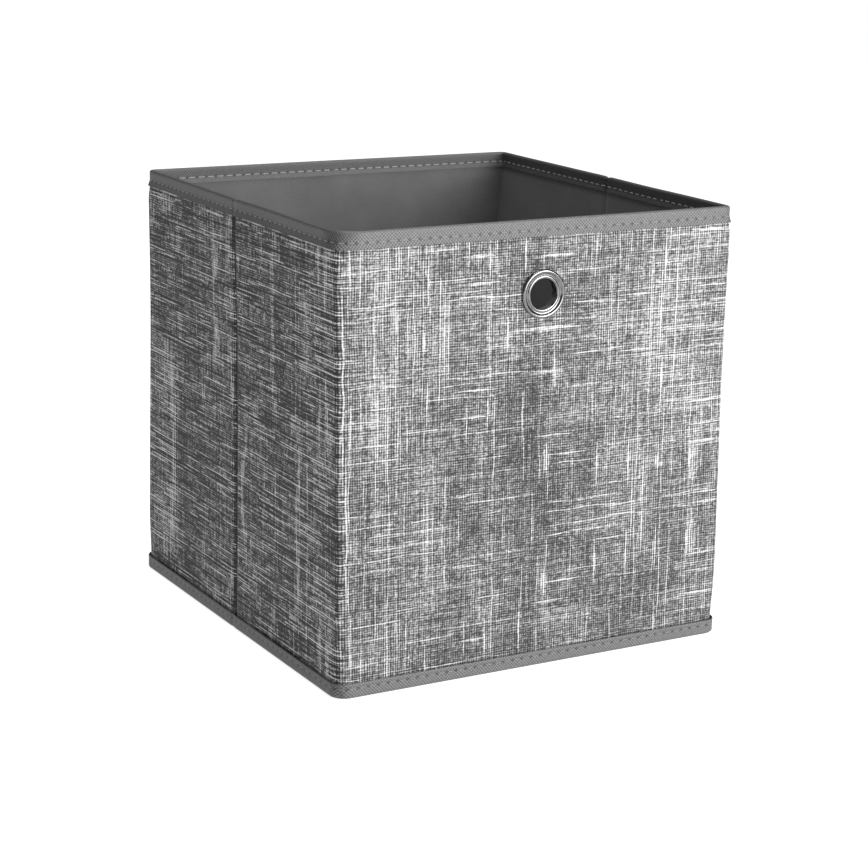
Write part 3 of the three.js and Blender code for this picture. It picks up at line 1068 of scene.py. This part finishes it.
def make_insert():
    """The base board in its cover, one soft-edged panel."""
    low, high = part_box("insert_cover")
    soft = [(0.6 * MM, low.z), (0.1 * MM, low.z + 0.7 * MM), (0, (low.z + high.z) / 2),
            (0.1 * MM, high.z - 0.7 * MM), (0.6 * MM, high.z - 0.15 * MM), (1.6 * MM, high.z)]
    cover = floor_panel("base_board_cover", high.x, 1.2 * MM, soft, LINING)
    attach(cover, "base_insert")
    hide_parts("insert_cover", "insert_board")


# ---- stage ----


STUDIO_RADIUS = 14.0
FLOOR_DROP = 0.4 * MM  # keeps the floor clear of the bin's underside
FLOOR_GLOW, BACKDROP_GLOW, WORLD_GLOW = 0.82, 1.0, 0.30
TOP_POWER, KEY_POWER = 38.0, 64.0  # watts
LAMP_DISTANCE = 2.2  # m from AIM
AIM = Vector((0, 0, 0.15))  # the middle of the bin


def studio_material(name, grey, glow):
    material, _ = plain_material(name, {
        "Base Color": (grey, grey, grey, 1), "Roughness": 1.0, "Specular IOR Level": 0.0,
        "Emission Color": (1, 1, 1, 1), "Emission Strength": glow,
    })
    return material


def make_floor():
    bpy.ops.mesh.primitive_circle_add(
        vertices=96, radius=STUDIO_RADIUS, fill_type="NGON", location=(0, 0, -FLOOR_DROP)
    )
    floor = bpy.context.object
    floor.name = "studio_floor"
    floor.data.materials.append(studio_material("studio_white", 0.6, FLOOR_GLOW))


def make_backdrop():
    """A white dome at the floor's edge. Only the camera sees it, so it adds no light."""
    bpy.ops.mesh.primitive_uv_sphere_add(segments=64, ring_count=32, radius=STUDIO_RADIUS)
    dome = bpy.context.object
    dome.name = "studio_backdrop"
    dome.data.materials.append(studio_material("backdrop_white", 0.0, BACKDROP_GLOW))
    dome.visible_diffuse = dome.visible_glossy = dome.visible_transmission = False
    dome.visible_volume_scatter = dome.visible_shadow = False


def add_softbox(name, azimuth, elevation, size, power):
    """A square area light aimed at the bin. Azimuth 0 is in front of it and 90 to its right."""
    light = bpy.data.lights.new(name, "AREA")
    light.shape, light.size, light.energy = "SQUARE", size, power
    lamp = bpy.data.objects.new(name, light)
    a, e = math.radians(azimuth), math.radians(elevation)
    away = Vector((math.sin(a) * math.cos(e), -math.cos(a) * math.cos(e), math.sin(e)))
    lamp.location = AIM + away * LAMP_DISTANCE
    lamp.rotation_euler = away.to_track_quat("Z", "Y").to_euler()
    bpy.context.scene.collection.objects.link(lamp)


def make_lights():
    world = bpy.data.worlds.new("studio")
    world.use_nodes = True
    background = world.node_tree.nodes["Background"]
    background.inputs["Color"].default_value = (1, 1, 1, 1)
    background.inputs["Strength"].default_value = WORLD_GLOW
    bpy.context.scene.world = world
    add_softbox("overhead", 0, 89, 1.0, TOP_POWER)
    add_softbox("key", 22, 12, 1.2, KEY_POWER)


# the camera, in degrees and metres from AIM
CAMERA_AZIMUTH, CAMERA_ELEVATION, CAMERA_ROLL = -30.2, 14.6, 1.44
CAMERA_DISTANCE, CAMERA_SIDEWAYS, CAMERA_UPWARDS = 1.5938, 0.0059, -0.0265
FOCAL_PIXELS = 2239.0
FRAME_PIXELS = 868
SENSOR = 36.0  # mm


def make_camera():
    a, e, r = (math.radians(v) for v in (CAMERA_AZIMUTH, CAMERA_ELEVATION, CAMERA_ROLL))
    back = Vector((math.sin(a) * math.cos(e), -math.cos(a) * math.cos(e), math.sin(e)))
    level = Vector((math.cos(a), math.sin(a), 0))
    upright = back.cross(level)
    right = math.cos(r) * level + math.sin(r) * upright
    up = -math.sin(r) * level + math.cos(r) * upright
    data = bpy.data.cameras.new("camera")
    data.sensor_width = SENSOR
    data.lens = FOCAL_PIXELS / FRAME_PIXELS * SENSOR
    data.clip_start, data.clip_end = 0.05, 60
    camera = bpy.data.objects.new("camera", data)
    sideways = right * CAMERA_SIDEWAYS + up * CAMERA_UPWARDS
    camera.location = AIM + back * CAMERA_DISTANCE + sideways
    turn = [[right[i], up[i], back[i]] for i in range(3)]
    camera.rotation_euler = Matrix(turn).to_euler()
    bpy.context.scene.collection.objects.link(camera)
    bpy.context.scene.camera = camera


bpy.context.scene.view_settings.view_transform = "Standard"
make_camera()
make_lights()
make_floor()
make_backdrop()
make_walls()
make_boards()
make_eyelet()
make_floor_cloth()
make_insert()
